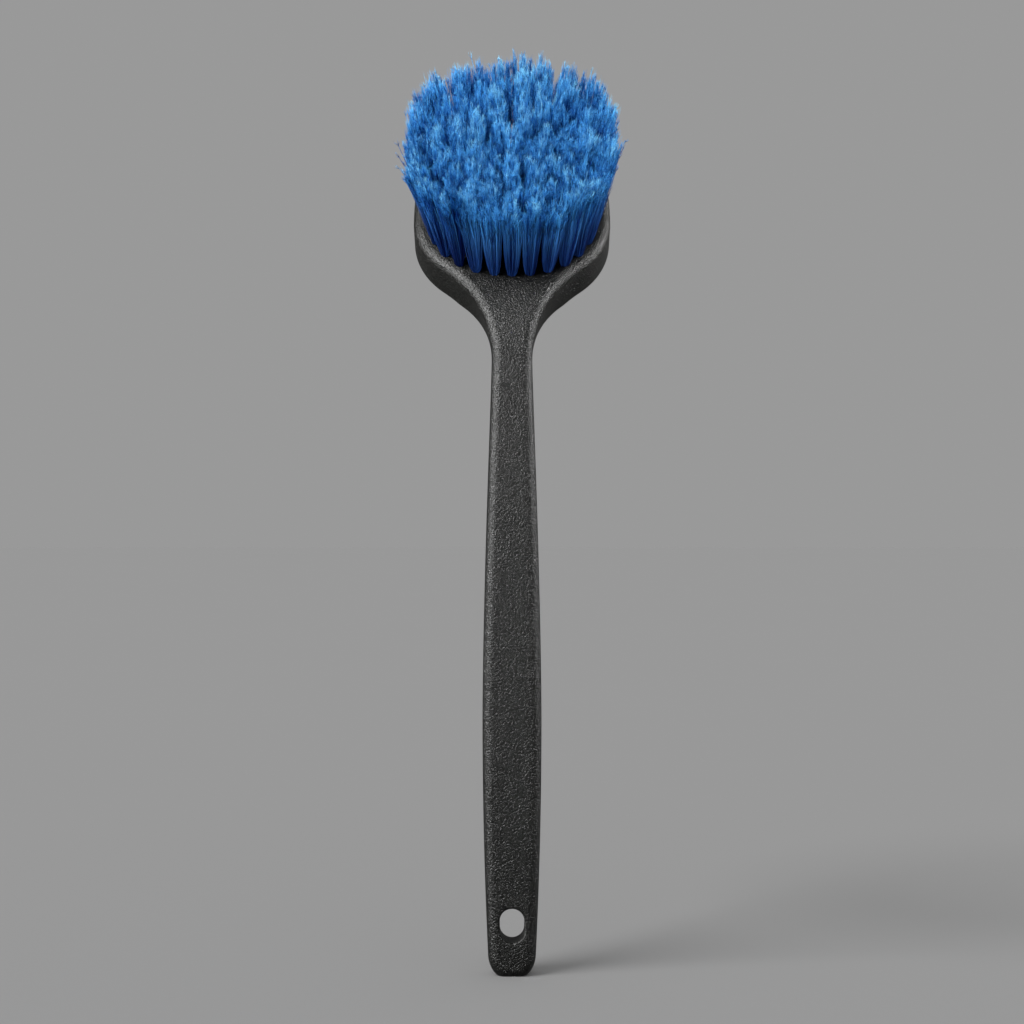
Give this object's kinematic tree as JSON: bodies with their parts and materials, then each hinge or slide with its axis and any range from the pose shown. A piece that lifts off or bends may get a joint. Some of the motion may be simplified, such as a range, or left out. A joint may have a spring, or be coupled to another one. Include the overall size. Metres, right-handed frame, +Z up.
{
  "type": "wheel brush",
  "caption": "Long-handled car wheel brush: black moulded handle and leaning head in a single moulding with a hang hole, planted with soft flagged bristle tufts held by wire anchors.",
  "frame": {"origin": "centre of the flat end of the handle (the foot)", "axes": "+Z up the handle from the foot towards the head, -Y towards the bristle side, +X to the right when the bristles face the viewer"},
  "size_m": [0.1106, 0.1319, 0.499],
  "materials": {
    "black_plastic": "fine leather grain, satin",
    "blue_bristle": "fine soft filaments with flagged tips",
    "anchor_wire": "drawn flat wire"
  },
  "bodies": {
    "root": {"body": "black_plastic", "ring_1_left_tufts": "blue_bristle", "ring_1_right_tufts": "blue_bristle", "ring_2_left_tufts": "blue_bristle", "ring_2_right_tufts": "blue_bristle", "ring_3_left_tufts": "blue_bristle", "ring_3_right_tufts": "blue_bristle", "ring_4_left_tufts": "blue_bristle", "ring_4_right_tufts": "blue_bristle", "ring_5_left_tufts": "blue_bristle", "ring_5_right_tufts": "blue_bristle", "centre_tuft": "blue_bristle", "ring_1_left_anchors": "anchor_wire", "ring_1_right_anchors": "anchor_wire", "ring_2_left_anchors": "anchor_wire", "ring_2_right_anchors": "anchor_wire", "ring_3_left_anchors": "anchor_wire", "ring_3_right_anchors": "anchor_wire", "ring_4_left_anchors": "anchor_wire", "ring_4_right_anchors": "anchor_wire", "ring_5_left_anchors": "anchor_wire", "ring_5_right_anchors": "anchor_wire", "centre_anchor": "anchor_wire"}
  },
  "joints": []
}
